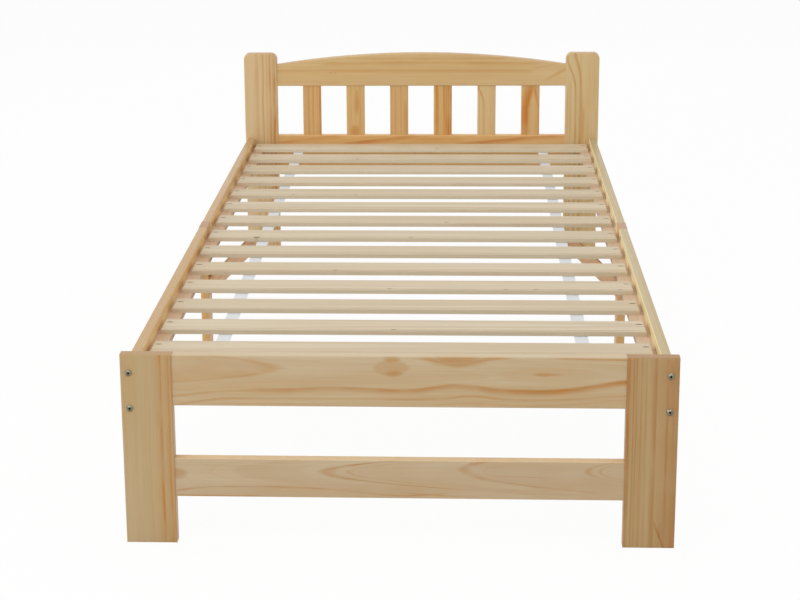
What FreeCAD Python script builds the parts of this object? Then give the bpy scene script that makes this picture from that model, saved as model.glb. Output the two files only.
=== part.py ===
import FreeCAD, Part, Sketcher
import math
import os
from types import SimpleNamespace

from FreeCAD import Placement, Rotation, Vector

# Single pine bed: two board end frames, side rails in two halves that meet on braced middle posts,
# and fourteen slats on ledges, tied together by two straps. Millimetres, +Z up, +X to the right as
# seen from the foot, +Y from the foot towards the head, origin on the floor under the middle.

os.makedirs("parts", exist_ok=True)
doc = FreeCAD.newDocument("pine_bed")
sheet = doc.addObject("Spreadsheet::Sheet", "Sizes")

DRIVING_SIZES = (
    ("frame_width", 955, "outside width over the legs and posts"),
    ("inner_length", 2006, "clear length between the two end frames"),
    ("leg_width", 89, "face width of legs and posts"),
    ("leg_thickness", 25, "thickness of legs and posts"),
    ("leg_height", 345, "height of the foot legs"),
    ("post_height", 557, "height of the head posts"),
    ("post_corner", 16, "radius of the rounded post tops"),
    ("cross_thickness", 22, "thickness of the boards across an end frame"),
    ("foot_top_drop", 1, "top of the upper foot rail below the leg tops"),
    ("foot_top_height", 91, "height of the upper foot rail"),
    ("foot_lower_height", 70, "height of the lower foot rail"),
    ("foot_lower_bottom", 86, "floor to the lower foot rail"),
    ("arch_bottom", 468, "floor to the underside of the arched board"),
    ("arch_end_height", 58, "height of the arched board at the posts"),
    ("arch_rise", 31, "extra height of the arched board at its middle"),
    ("head_lower_top", 333, "floor to the top of the lower headboard rail"),
    ("head_lower_height", 92, "height of the lower headboard rail"),
    ("spindle_width", 49, "face width of a headboard spindle"),
    ("spindle_thickness", 16, "thickness of a headboard spindle"),
    ("side_top", 326, "floor to the top of the side rails"),
    ("side_height", 90, "height of the side rails"),
    ("side_thickness", 18, "thickness of the side rails and middle posts"),
    ("side_inset", 6, "side rail in from the outer face of the legs"),
    ("slat_recess", 14, "top of the slats below the top of the side rails"),
    ("slat_width", 68, "width of a slat"),
    ("slat_thickness", 10, "thickness of a slat"),
    ("slat_pitch", 140.5, "spacing of the slats"),
    ("slat_end_gap", 7, "slat end to side rail"),
    ("first_slat_gap", 10, "headboard to the first slat"),
    ("ledge_width", 28, "width of a slat ledge"),
    ("ledge_height", 12, "height of a slat ledge"),
    ("ledge_end_gap", 2, "slat ledge to end frame"),
    ("strap_spacing", 654, "spacing of the two straps, middle to middle"),
    ("strap_width", 25, "width of a strap"),
    ("strap_thickness", 1.5, "thickness of a strap"),
    ("strap_end_gap", 6, "strap end in from the edge of the last slat"),
    ("mid_post_width", 58, "width of a middle post along the bed"),
    ("brace_width", 30, "face width of a knee brace"),
    ("brace_thickness", 22, "thickness of a knee brace"),
    ("brace_foot", 164, "floor to the lower end of a knee brace"),
    ("board_round", 2.5, "eased edges of the frame boards"),
    ("slat_round", 3, "eased upper edges of the slats"),
    ("bolt_spacing", 64, "the two bolts of a rail joint, one above the other"),
    ("bolt_diameter", 6, "bolt and threaded rod"),
    ("bolt_head_diameter", 12, "domed bolt head"),
    ("bolt_head_height", 3.4, "domed bolt head"),
    ("bolt_edge_height", 1, "straight rim under the dome of a bolt head"),
    ("socket_width", 4, "hexagon socket across its flats"),
    ("socket_depth", 2.2, "hexagon socket"),
    ("bolt_past_nut", 8, "bolt end past the middle of its barrel nut"),
    ("bolt_hole_spare", 4, "bolt hole past the bolt end"),
    ("bolt_clearance", 0.3, "bolt hole over the bolt, on the radius"),
    ("nut_diameter", 10, "barrel nut"),
    ("nut_length", 13, "barrel nut"),
    ("nut_setback", 35, "rail end to the middle of a barrel nut"),
    ("nut_clearance", 0.1, "barrel nut hole over the nut, on the radius"),
    ("thread_clearance", 0.05, "threaded bore over the thread, on the radius"),
    ("dowel_diameter", 8, "glued dowel"),
    ("dowel_length", 40, "dowel of a frame joint"),
    ("dowel_spacing", 36, "the two dowels of a frame joint"),
    ("spindle_dowel_length", 30, "dowel of a spindle end"),
    ("dowel_clearance", 0.05, "glue gap round and past a dowel"),
    ("staple_crown", 10, "staple over its two legs"),
    ("staple_wire", 1.4, "staple wire"),
    ("staple_bite", 10, "staple legs down into the ledge"),
    ("staple_clearance", 0.05, "staple hole over the wire, on the radius"),
    ("staple_inset", 10.5, "slat end to the middle of its staple"),
    ("staple_setback", 23, "head side edge of a slat to its staple"),
    ("screw_diameter", 4, "wood screw"),
    ("screw_head_diameter", 8, "countersunk screw head"),
    ("screw_head_height", 2.4, "countersunk screw head"),
    ("screw_clearance", 0.05, "screw hole over the screw, on the radius"),
    ("ledge_screw_bite", 14, "ledge screw into the side rail"),
    ("brace_screw_bite", 20, "brace screw into the knee brace"),
    ("brace_screw_rise", 30, "brace screw over the lower end of the brace"),
    ("slat_screw_gap", 6, "slat screw of a brace out from the edge of the strap"),
    ("slat_screw_seat", 12, "wood of a brace over the head of its slat screw"),
    ("slat_screw_bite", 7, "slat screw of a brace up into the slat"),
    ("slat_screw_pocket", 9, "diameter of the pocket that a slat screw goes up through"),
)
SLAT_COUNT = 14
SPINDLE_COUNT = 6
SIDES = (("left", -1), ("right", 1))
# Slats next to a ledge screw, counted from the head, and the slat that the braces hold.
HEAD_SCREW_SLATS = (2, 4, 6)
FOOT_SCREW_SLATS = (9, 11, 13)
BRACED_SLAT = 8


class Size:
    """A length that keeps its number beside the sheet expression that it comes from."""

    def __init__(self, text, number):
        self.text = text
        self.number = number

    def __add__(self, other):
        return joined(self, "+", other, lambda a, b: a + b)

    def __sub__(self, other):
        return joined(self, "-", other, lambda a, b: a - b)

    def __mul__(self, other):
        return joined(self, "*", other, lambda a, b: a * b)

    def __rmul__(self, other):
        return joined(other, "*", self, lambda a, b: a * b)

    def __truediv__(self, other):
        return joined(self, "/", other, lambda a, b: a / b)

    def __neg__(self):
        return self * -1


def as_size(value):
    if isinstance(value, Size):
        return value
    return Size("(%.10g)" % value, float(value))


def joined(first, sign, second, work):
    a = as_size(first)
    b = as_size(second)
    return Size("(%s %s %s)" % (a.text, sign, b.text), work(a.number, b.number))


for row, (alias, number, note) in enumerate(DRIVING_SIZES, start=1):
    sheet.set("A%d" % row, note)
    sheet.set("B%d" % row, str(number))
    sheet.setAlias("B%d" % row, alias)
doc.recompute()
d = SimpleNamespace(**{a: Size("Sizes." + a, float(sheet.get(a))) for a, _, _ in DRIVING_SIZES})

# Places that several pieces share.
half_width = d.frame_width / 2
end_face = d.inner_length / 2
frame_back = end_face + d.leg_thickness
cross_length = d.frame_width - 2 * d.leg_width
head_cross_front = frame_back - d.cross_thickness
head_cross_middle = frame_back - d.cross_thickness / 2
foot_cross_front = -end_face - d.cross_thickness
foot_cross_middle = -end_face - d.cross_thickness / 2
foot_top_bottom = d.leg_height - d.foot_top_drop - d.foot_top_height
head_lower_bottom = d.head_lower_top - d.head_lower_height
spindle_length = d.arch_bottom - d.head_lower_top
spindle_gap = (cross_length - SPINDLE_COUNT * d.spindle_width) / (SPINDLE_COUNT + 1)
side_outer = half_width - d.side_inset
side_inner = side_outer - d.side_thickness
side_middle = side_outer - d.side_thickness / 2
side_bottom = d.side_top - d.side_height
side_split = d.mid_post_width / 2
slat_top = d.side_top - d.slat_recess
slat_bottom = slat_top - d.slat_thickness
slat_half = side_inner - d.slat_end_gap
ledge_inner = side_inner - d.ledge_width
ledge_bottom = slat_bottom - d.ledge_height
ledge_middle = ledge_bottom + d.ledge_height / 2
strap_bottom = slat_bottom - d.strap_thickness
staple_middle = slat_half - d.staple_inset
staple_leg_spread = d.staple_crown - d.staple_wire
bolt_heights = [d.side_top - d.side_height / 2 + k * d.bolt_spacing / 2 for k in (1, -1)]
bolt_hole = d.bolt_diameter / 2 + d.bolt_clearance
bolt_reach = d.nut_setback + d.bolt_past_nut
dowel_hole = d.dowel_diameter / 2 + d.dowel_clearance
screw_hole = d.screw_diameter / 2 + d.screw_clearance
brace_screw_height = d.brace_foot + d.brace_screw_rise

# Upright, sideways and lengthways turns of a tool whose own axis is +Z.
TURNS = {
    "+x": Rotation(Vector(0, 1, 0), 90),
    "-x": Rotation(Vector(0, 1, 0), -90),
    "+y": Rotation(Vector(1, 0, 0), -90),
    "-y": Rotation(Vector(1, 0, 0), 90),
    "+z": Rotation(),
    "-z": Rotation(Vector(1, 0, 0), 180),
}
corners = {}


def bind(target, path, size):
    target.setExpression(path, as_size(size).text)


def bind_place(target, path, at):
    for letter, size in zip("xyz", at):
        bind(target, "%s.Base.%s" % (path, letter), size)


def base_plane(body, role):
    return next(feature for feature in body.Origin.OriginFeatures if feature.Role == role)


def new_body(label, corner):
    body = doc.addObject("PartDesign::Body", label)
    body.Label = label
    bind_place(body, "Placement", corner)
    corners[label] = corner
    return body


def new_sketch(body, role, name):
    sketch = body.newObject("Sketcher::SketchObject", "%s_%s" % (body.Label, name))
    sketch.AttachmentSupport = [(base_plane(body, role), "")]
    sketch.MapMode = "FlatFace"
    return sketch


def add_constraint(sketch, name, size, *terms):
    index = sketch.addConstraint(Sketcher.Constraint(*terms, as_size(size).number))
    sketch.renameConstraint(index, name)
    bind(sketch, "Constraints.%s" % name, size)


def add_outline(sketch, points):
    """Closes straight lines through the points; the first point is the sketch origin."""
    vectors = [Vector(as_size(a).number, as_size(b).number, 0) for a, b in points]
    count = len(points)
    for k in range(count):
        sketch.addGeometry(Part.LineSegment(vectors[k], vectors[(k + 1) % count]), False)
    for k in range(count):
        sketch.addConstraint(Sketcher.Constraint("Coincident", k, 2, (k + 1) % count, 1))
    sketch.addConstraint(Sketcher.Constraint("Coincident", 0, 1, -1, 1))
    for k in range(1, count):
        add_constraint(sketch, "across_%d" % k, points[k][0], "DistanceX", -1, 1, k, 1)
        add_constraint(sketch, "along_%d" % k, points[k][1], "DistanceY", -1, 1, k, 1)


def add_pad(body, sketch, length, upright):
    pad = body.newObject("PartDesign::Pad", "%s_pad" % body.Label)
    pad.Profile = sketch
    pad.Reversed = not upright
    bind(pad, "Length", length)
    doc.recompute([body])
    return pad


def add_fillet(body, names, radius):
    base = body.Tip
    fillet = body.newObject("PartDesign::Fillet", "%s_round" % body.Label)
    fillet.Base = (base, names)
    bind(fillet, "Radius", radius)
    body.Tip = fillet
    doc.recompute([body])


def edges_along(body, direction):
    names = []
    for index, edge in enumerate(body.Tip.Shape.Edges, start=1):
        run = edge.Vertexes[-1].Point - edge.Vertexes[0].Point
        if abs(run.normalize().dot(direction)) > 0.999:
            names.append("Edge%d" % index)
    return names


def faces_towards(body, *directions):
    names = []
    for index, face in enumerate(body.Tip.Shape.Faces, start=1):
        normal = face.normalAt(0, 0)
        if any(normal.dot(direction) > 0.999 for direction in directions):
            names.append("Face%d" % index)
    return names


def board(label, corner, size):
    """A plain board with its lowest corner at corner."""
    body = new_body(label, corner)
    sketch = new_sketch(body, "XY_Plane", "plan")
    across, along, height = size
    add_outline(sketch, ((0, 0), (across, 0), (across, along), (0, along)))
    add_pad(body, sketch, height, True)
    return body


def bore(body, turn, start, radius, depth):
    """A round hole from a point of the bed, running the way that the turn says."""
    tool = body.newObject("PartDesign::SubtractiveCylinder", "%s_bore" % body.Label)
    tool.AttachmentSupport = [(base_plane(body, "XY_Plane"), "")]
    tool.MapMode = "FlatFace"
    tool.AttachmentOffset = Placement(Vector(), TURNS[turn])
    local = [as_size(a) - b for a, b in zip(start, corners[body.Label])]
    bind_place(tool, "AttachmentOffset", local)
    bind(tool, "Radius", radius)
    bind(tool, "Height", depth)
    body.Tip = tool


def sink(body, turn, start):
    """The conical seat of a countersunk screw head."""
    tool = body.newObject("PartDesign::SubtractiveCone", "%s_sink" % body.Label)
    tool.AttachmentSupport = [(base_plane(body, "XY_Plane"), "")]
    tool.MapMode = "FlatFace"
    tool.AttachmentOffset = Placement(Vector(), TURNS[turn])
    local = [as_size(a) - b for a, b in zip(start, corners[body.Label])]
    bind_place(tool, "AttachmentOffset", local)
    bind(tool, "Radius1", d.screw_head_diameter / 2 + d.screw_clearance)
    bind(tool, "Radius2", screw_hole)
    bind(tool, "Height", d.screw_head_height)
    body.Tip = tool


# Rows of points that pieces and their fasteners share.
def slat_far_edge(number):
    return end_face - d.first_slat_gap - (number - 1) * d.slat_pitch


def slat_gap_middle(number):
    return slat_far_edge(number) - d.slat_width / 2 - d.slat_pitch / 2


def staple_line(number):
    return slat_far_edge(number) - d.staple_setback


def spindle_left(number):
    return spindle_gap + (number - 1) * (d.spindle_width + spindle_gap) - cross_length / 2


def pair_heights(bottom, height):
    return [bottom + height / 2 + k * d.dowel_spacing / 2 for k in (1, -1)]


cross_joints = {
    "foot_top_rail": (foot_cross_middle, pair_heights(foot_top_bottom, d.foot_top_height)),
    "foot_lower_rail": (foot_cross_middle, pair_heights(d.foot_lower_bottom, d.foot_lower_height)),
    "headboard_top_rail": (head_cross_middle, pair_heights(d.arch_bottom, d.arch_end_height)),
    "headboard_lower_rail": (head_cross_middle, pair_heights(head_lower_bottom, d.head_lower_height)),
}
spindle_dowels = [
    (spindle_left(k) + d.spindle_width / 2, height)
    for k in range(1, SPINDLE_COUNT + 1)
    for height in (d.arch_bottom, d.head_lower_top)
]
ledge_screws = {
    "head": [slat_gap_middle(k) for k in HEAD_SCREW_SLATS],
    "foot": [slat_gap_middle(k) for k in FOOT_SCREW_SLATS],
}
brace_line = as_size(0)
brace_top = d.brace_width * math.sqrt(2)
brace_run = strap_bottom - d.brace_foot - brace_top
slat_screw_place = d.strap_spacing / 2 + d.strap_width / 2 + d.slat_screw_gap


def bore_for_dowels(body, inward):
    """Dowel holes from the face of a leg or post at the cross boards, or from both ends of a board."""
    label = body.Label
    depth = d.dowel_length / 2 + d.dowel_clearance
    for rail, (middle, heights) in cross_joints.items():
        if inward is None and rail != label:
            continue
        if inward is not None and rail[:4] != label[:4]:
            continue
        for height in heights:
            for sign in (-1, 1) if inward is None else (inward,):
                start = (sign * cross_length / 2, middle, height)
                away = sign if inward is not None else -sign
                bore(body, "+x" if away > 0 else "-x", start, dowel_hole, depth)


def end_upright(label, sign, end, height):
    """A leg or post board, with its two bolt holes and its dowel holes."""
    left = sign * half_width - (d.leg_width if sign > 0 else 0)
    front = end_face if end > 0 else -frame_back
    body = board(label, (left, front, as_size(0)), (d.leg_width, d.leg_thickness, height))
    if end > 0:
        top = [name for name in edges_along(body, Vector(0, 1, 0)) if is_high(body, name)]
        add_fillet(body, top, d.post_corner)
    add_fillet(body, faces_towards(body, Vector(0, 1, 0), Vector(0, -1, 0)), d.board_round)
    for z in bolt_heights:
        bore(body, "+y", (sign * side_middle, front, z), bolt_hole, d.leg_thickness)
    bore_for_dowels(body, sign)
    return body


def is_high(body, name):
    shape = body.Tip.Shape
    return shape.getElement(name).BoundBox.ZMin > shape.BoundBox.Center.z


def cross_board(label, front, bottom, height):
    corner = (-cross_length / 2, front, bottom)
    body = board(label, corner, (cross_length, d.cross_thickness, height))
    add_fillet(body, edges_along(body, Vector(1, 0, 0)), d.board_round)
    bore_for_dowels(body, None)
    return body


def arched_board(label):
    """The headboard's top rail: level underside, upper edge one shallow arc."""
    body = new_body(label, (-cross_length / 2, head_cross_front, d.arch_bottom))
    sketch = new_sketch(body, "XZ_Plane", "face")
    length = cross_length.number
    end = d.arch_end_height.number
    crown = end + d.arch_rise.number
    right_end = Vector(length, end, 0)
    left_end = Vector(0, end, 0)
    sketch.addGeometry(Part.LineSegment(Vector(0, 0, 0), Vector(length, 0, 0)), False)
    sketch.addGeometry(Part.LineSegment(Vector(length, 0, 0), right_end), False)
    sketch.addGeometry(Part.Arc(right_end, Vector(length / 2, crown, 0), left_end), False)
    sketch.addGeometry(Part.LineSegment(left_end, Vector(0, 0, 0)), False)
    for first, second in (((0, 2), (1, 1)), ((1, 2), (2, 1)), ((2, 2), (3, 1)), ((3, 2), (0, 1))):
        sketch.addConstraint(Sketcher.Constraint("Coincident", *first, *second))
    sketch.addConstraint(Sketcher.Constraint("Coincident", 0, 1, -1, 1))
    sketch.addConstraint(Sketcher.Constraint("Horizontal", 0))
    add_constraint(sketch, "length", cross_length, "DistanceX", 0, 1, 0, 2)
    for name, line, point in (("right", 1, 2), ("left", 3, 1)):
        across = cross_length if name == "right" else as_size(0)
        add_constraint(sketch, name + "_place", across, "DistanceX", -1, 1, line, point)
        add_constraint(sketch, name + "_height", d.arch_end_height, "DistanceY", -1, 1, line, point)
    radius = (cross_length * cross_length / 4 + d.arch_rise * d.arch_rise) / (2 * d.arch_rise)
    add_constraint(sketch, "arch", radius, "Radius", 2)
    add_pad(body, sketch, d.cross_thickness, False)
    rounded = [
        "Edge%d" % index
        for index, edge in enumerate(body.Tip.Shape.Edges, start=1)
        if edge.BoundBox.XLength > edge.BoundBox.ZLength and edge.BoundBox.YLength < 1
    ]
    add_fillet(body, rounded, d.board_round)
    bore_for_dowels(body, None)
    return body


def bore_for_spindles(body, turn, height):
    depth = d.spindle_dowel_length / 2 + d.dowel_clearance
    for x, z in spindle_dowels:
        if z is height:
            bore(body, turn, (x, head_cross_middle, z), dowel_hole, depth)


def spindle(number):
    front = head_cross_middle - d.spindle_thickness / 2
    left = spindle_left(number)
    size = (d.spindle_width, d.spindle_thickness, spindle_length)
    body = board("headboard_spindle_%d" % number, (left, front, d.head_lower_top), size)
    add_fillet(body, edges_along(body, Vector(0, 0, 1)), d.board_round)
    depth = d.spindle_dowel_length / 2 + d.dowel_clearance
    middle = left + d.spindle_width / 2
    bore(body, "+z", (middle, head_cross_middle, d.head_lower_top), dowel_hole, depth)
    bore(body, "-z", (middle, head_cross_middle, d.arch_bottom), dowel_hole, depth)
    return body


def side_rail(half, side, sign):
    """Half a side rail: bolts enter both its ends, and barrel nuts its inner face."""
    end = 1 if half == "head" else -1
    left = side_inner if sign > 0 else -side_outer
    near = side_split if end > 0 else -end_face
    length = end_face - side_split
    size = (d.side_thickness, length, d.side_height)
    body = board("side_rail_%s_%s" % (half, side), (left, near, side_bottom), size)
    add_fillet(body, edges_along(body, Vector(0, 1, 0)), d.board_round)
    hole_depth = bolt_reach + d.bolt_hole_spare
    nut_depth = d.side_thickness / 2 + d.nut_length / 2 + d.nut_clearance
    outward = "+x" if sign > 0 else "-x"
    for z in bolt_heights:
        for face, inwards in ((end_face, -1), (side_split, 1)):
            run = "+y" if end * inwards > 0 else "-y"
            bore(body, run, (sign * side_middle, end * face, z), bolt_hole, hole_depth)
            nut_line = end * (face + inwards * d.nut_setback)
            nut_hole = d.nut_diameter / 2 + d.nut_clearance
            bore(body, outward, (sign * side_inner, nut_line, z), nut_hole, nut_depth)
    for y in ledge_screws[half]:
        start = (sign * side_inner, y, ledge_middle)
        bore(body, outward, start, screw_hole, d.ledge_screw_bite + d.screw_clearance)
    return body


def slat_ledge(half, side, sign):
    """The strip that carries the slat ends; the foot one runs on across the middle post."""
    left = ledge_inner if sign > 0 else -side_inner
    near = side_split if half == "head" else d.ledge_end_gap - end_face
    far = end_face - d.ledge_end_gap if half == "head" else side_split
    size = (d.ledge_width, far - near, d.ledge_height)
    body = board("slat_ledge_%s_%s" % (half, side), (left, near, ledge_bottom), size)
    outward = "+x" if sign > 0 else "-x"
    for y in ledge_screws[half] + ([brace_line] if half == "foot" else []):
        start = (sign * ledge_inner, y, ledge_middle)
        bore(body, outward, start, screw_hole, d.ledge_width)
        sink(body, outward, start)
    numbers = range(1, BRACED_SLAT) if half == "head" else range(BRACED_SLAT, SLAT_COUNT + 1)
    for number in numbers:
        for k in (-1, 1):
            x = sign * staple_middle + k * staple_leg_spread / 2
            hole = d.staple_wire / 2 + d.staple_clearance
            depth = d.staple_bite + d.staple_clearance
            bore(body, "-z", (x, staple_line(number), slat_bottom), hole, depth)
    return body


def staple_groove(body, x, y):
    """The groove that a staple's crown is driven into, flush with the slat."""
    length = d.staple_crown + 2 * d.staple_clearance
    width = d.staple_wire + 2 * d.staple_clearance
    depth = d.staple_wire + d.staple_clearance
    tool = body.newObject("PartDesign::SubtractiveBox", "%s_groove" % body.Label)
    tool.AttachmentSupport = [(base_plane(body, "XY_Plane"), "")]
    tool.MapMode = "FlatFace"
    start = (x - length / 2, y - width / 2, slat_top - depth)
    bind_place(tool, "AttachmentOffset", [a - b for a, b in zip(start, corners[body.Label])])
    for path, size in (("Length", length), ("Width", width), ("Height", depth)):
        bind(tool, path, size)
    body.Tip = tool


def slat(number):
    far = slat_far_edge(number)
    size = (2 * slat_half, d.slat_width, d.slat_thickness)
    body = board("slat_%02d" % number, (-slat_half, far - d.slat_width, slat_bottom), size)
    add_fillet(body, faces_towards(body, Vector(0, 0, 1)), d.slat_round)
    for sign in (-1, 1):
        for k in (-1, 1):
            x = sign * staple_middle + k * staple_leg_spread / 2
            hole = d.staple_wire / 2 + d.staple_clearance
            bore(body, "-z", (x, staple_line(number), slat_top), hole, d.slat_thickness)
        staple_groove(body, sign * staple_middle, staple_line(number))
        if number == BRACED_SLAT:
            start = (sign * slat_screw_place, brace_line, slat_bottom)
            bore(body, "+z", start, screw_hole, d.slat_screw_bite + d.screw_clearance)
    return body


def slat_strap(side, sign):
    left = sign * d.strap_spacing / 2 - d.strap_width / 2
    near = slat_far_edge(SLAT_COUNT) - d.slat_width + d.strap_end_gap
    far = slat_far_edge(1) - d.strap_end_gap
    size = (d.strap_width, far - near, d.strap_thickness)
    return board("slat_strap_%s" % side, (left, near, strap_bottom), size)


def mid_post(side, sign):
    """The post under a rail joint: threaded rods cross it, and a screw holds the brace from outside."""
    left = side_inner if sign > 0 else -side_outer
    size = (d.side_thickness, d.mid_post_width, d.side_top)
    body = board("mid_post_%s" % side, (left, -side_split, as_size(0)), size)
    add_fillet(body, edges_along(body, Vector(0, 0, 1)), d.board_round)
    for z in bolt_heights:
        bore(body, "+y", (sign * side_middle, -side_split, z), bolt_hole, d.mid_post_width)
    outward = "+x" if sign > 0 else "-x"
    inward = "-x" if sign > 0 else "+x"
    start = (sign * side_inner, brace_line, ledge_middle)
    bore(body, outward, start, screw_hole, d.ledge_screw_bite + d.screw_clearance)
    start = (sign * side_outer, brace_line, brace_screw_height)
    bore(body, inward, start, screw_hole, d.side_thickness)
    sink(body, inward, start)
    return body


def mid_brace(side, sign):
    """A knee brace at 45 degrees, cut upright against the post and level under the slat."""
    body = new_body("mid_brace_%s" % side, (sign * side_inner, brace_line, d.brace_foot))
    body.Placement = Placement(Vector(), Rotation(Vector(0, 0, 1), 180 if sign > 0 else 0))
    bind_place(body, "Placement", corners[body.Label])
    sketch = new_sketch(body, "XZ_Plane", "face")
    top = brace_run + brace_top
    outline = ((0, 0), (top, top), (brace_run, top), (0, brace_top))
    add_outline(sketch, outline)
    pad = add_pad(body, sketch, d.brace_thickness, True)
    pad.Midplane = True
    doc.recompute([body])
    add_fillet(body, sloping_edges(body), d.board_round)
    start = own_point(body, (as_size(0), as_size(0), d.brace_screw_rise))
    bore(body, "+x", start, screw_hole, d.brace_screw_bite + d.screw_clearance)
    across = side_inner - slat_screw_place
    seat_height = top - d.slat_screw_seat
    pocket = own_point(body, (across, as_size(0), as_size(0)))
    bore(body, "+z", pocket, d.slat_screw_pocket / 2, seat_height)
    seat = own_point(body, (across, as_size(0), seat_height))
    bore(body, "+z", seat, screw_hole, d.slat_screw_seat)
    sink(body, "+z", seat)
    return body


def sloping_edges(body):
    names = []
    for index, edge in enumerate(body.Tip.Shape.Edges, start=1):
        box = edge.BoundBox
        if box.XLength > 1 and box.ZLength > 1:
            names.append("Edge%d" % index)
    return names


def own_point(body, local):
    """A point of the body's own frame, given the way that a bore takes it."""
    return [a + b for a, b in zip(local, corners[body.Label])]


# Fasteners: one turned master each, copied to its places.
def turned(label, profile):
    """Revolves half a section, given as (radius, height) points, about +Z."""
    body = new_body(label, (as_size(0), as_size(0), as_size(0)))
    sketch = new_sketch(body, "XZ_Plane", "half")
    add_outline(sketch, profile)
    spin = body.newObject("PartDesign::Revolution", label + "_spin")
    spin.Profile = sketch
    spin.ReferenceAxis = (sketch, ["V_Axis"])
    spin.Angle = 360
    doc.recompute([body])
    return body


def bolt_master():
    """A domed bolt along -Z, its head on the plane z = 0, with a hexagon socket."""
    length = d.leg_thickness + bolt_reach
    shank = d.bolt_diameter / 2
    head = d.bolt_head_diameter / 2
    crown = head / 2
    profile = (
        (as_size(0), as_size(0)),
        (as_size(0), -length),
        (shank, -length),
        (shank, as_size(0)),
        (head, as_size(0)),
        (head, d.bolt_edge_height),
        (crown, d.bolt_head_height),
        (as_size(0), d.bolt_head_height),
    )
    body = turned("bolt_master", profile)
    socket = body.newObject("PartDesign::SubtractivePrism", "bolt_socket")
    socket.AttachmentSupport = [(base_plane(body, "XY_Plane"), "")]
    socket.MapMode = "FlatFace"
    socket.Polygon = 6
    bind(socket, "Circumradius", d.socket_width / math.sqrt(3))
    bind(socket, "Height", d.socket_depth)
    bind(socket, "AttachmentOffset.Base.z", d.bolt_head_height - d.socket_depth)
    body.Tip = socket
    doc.recompute([body])
    return body.Shape


def screw_master(label, length):
    """A countersunk screw along -Z, its flat head on the plane z = 0."""
    head = d.screw_head_diameter / 2
    shank = d.screw_diameter / 2
    profile = (
        (as_size(0), as_size(0)),
        (as_size(0), -length),
        (shank / 4, -length),
        (shank, shank * 2 - length),
        (shank, -d.screw_head_height),
        (head, as_size(0)),
    )
    return turned(label, profile).Shape


def nut_master():
    """A barrel nut along X with its threaded bore along Y."""
    barrel = Part.makeCylinder(
        d.nut_diameter.number / 2,
        d.nut_length.number,
        Vector(-d.nut_length.number / 2, 0, 0),
        Vector(1, 0, 0),
    )
    thread = Part.makeCylinder(
        d.bolt_diameter.number / 2 + d.thread_clearance.number,
        2 * d.nut_diameter.number,
        Vector(0, -d.nut_diameter.number, 0),
        Vector(0, 1, 0),
    )
    return barrel.cut(thread)


def rod(diameter, length):
    """A round rod along Z, centred on the origin."""
    return Part.makeCylinder(diameter.number / 2, length.number, Vector(0, 0, -length.number / 2))


def staple_master():
    """A staple with the top of its crown on the plane z = 0 and its two legs down."""
    wire = d.staple_wire.number
    width = d.staple_crown.number
    crown = Part.makeBox(width, wire, wire, Vector(-width / 2, -wire / 2, -wire))
    length = (d.slat_thickness + d.staple_bite).number
    for k in (-1, 1):
        x = k * staple_leg_spread.number / 2
        leg = Part.makeCylinder(wire / 2, length - wire / 2, Vector(x, 0, -wire / 2), Vector(0, 0, -1))
        crown = crown.fuse(leg)
    return crown.removeSplitter()


def group(label, master, places):
    """Copies of a fastener at (turn, point) places, as one node of separate solids."""
    copies = []
    for turn, point in places:
        copy = master.copy()
        spot = Vector(*[as_size(a).number for a in point])
        copy.Placement = Placement(spot, TURNS[turn]).multiply(copy.Placement)
        copies.append(copy)
    node = doc.addObject("Part::Feature", label)
    node.Label = label
    node.Shape = Part.makeCompound(copies)
    return node


def bolt_places(end):
    turn = "+y" if end > 0 else "-y"
    return [(turn, (s * side_middle, end * frame_back, z)) for _, s in SIDES for z in bolt_heights]


def nut_places():
    lines = [end_face - d.nut_setback, side_split + d.nut_setback]
    return [
        ("+z", (s * side_middle, end * y, z))
        for _, s in SIDES
        for end in (-1, 1)
        for y in lines
        for z in bolt_heights
    ]


def frame_dowel_places():
    return [
        ("+x", (s * cross_length / 2, middle, z))
        for middle, heights in cross_joints.values()
        for _, s in SIDES
        for z in heights
    ]


def staple_places():
    return [
        ("+z", (s * staple_middle, staple_line(k), slat_top))
        for _, s in SIDES
        for k in range(1, SLAT_COUNT + 1)
    ]


def ledge_screw_places():
    lines = ledge_screws["head"] + ledge_screws["foot"] + [brace_line]
    places = []
    for _, s in SIDES:
        turn = "-x" if s > 0 else "+x"
        places += [(turn, (s * ledge_inner, y, ledge_middle)) for y in lines]
    return places


def fasteners():
    nodes = []
    bolt = bolt_master()
    nodes.append(group("foot_bolts", bolt, bolt_places(-1)))
    nodes.append(group("head_bolts", bolt, bolt_places(1)))
    rod_length = d.mid_post_width + 2 * bolt_reach
    rod_places = [("+y", (s * side_middle, as_size(0), z)) for _, s in SIDES for z in bolt_heights]
    nodes.append(group("mid_joint_rods", rod(d.bolt_diameter, rod_length), rod_places))
    nodes.append(group("barrel_nuts", nut_master(), nut_places()))
    nodes.append(group("frame_dowels", rod(d.dowel_diameter, d.dowel_length), frame_dowel_places()))
    places = [("+z", (x, head_cross_middle, z)) for x, z in spindle_dowels]
    nodes.append(group("spindle_dowels", rod(d.dowel_diameter, d.spindle_dowel_length), places))
    nodes.append(group("slat_staples", staple_master(), staple_places()))
    ledge_screw = screw_master("ledge_screw_master", d.ledge_width + d.ledge_screw_bite)
    nodes.append(group("ledge_screws", ledge_screw, ledge_screw_places()))
    post_screw = screw_master("post_screw_master", d.side_thickness + d.brace_screw_bite)
    places = [
        ("+x" if s > 0 else "-x", (s * side_outer, brace_line, brace_screw_height)) for _, s in SIDES
    ]
    nodes.append(group("brace_post_screws", post_screw, places))
    slat_screw_length = d.slat_screw_seat + d.strap_thickness + d.slat_screw_bite
    slat_screw = screw_master("slat_screw_master", slat_screw_length)
    seat_height = strap_bottom - d.slat_screw_seat
    places = [("-z", (s * slat_screw_place, brace_line, seat_height)) for _, s in SIDES]
    nodes.append(group("brace_slat_screws", slat_screw, places))
    return nodes


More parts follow.
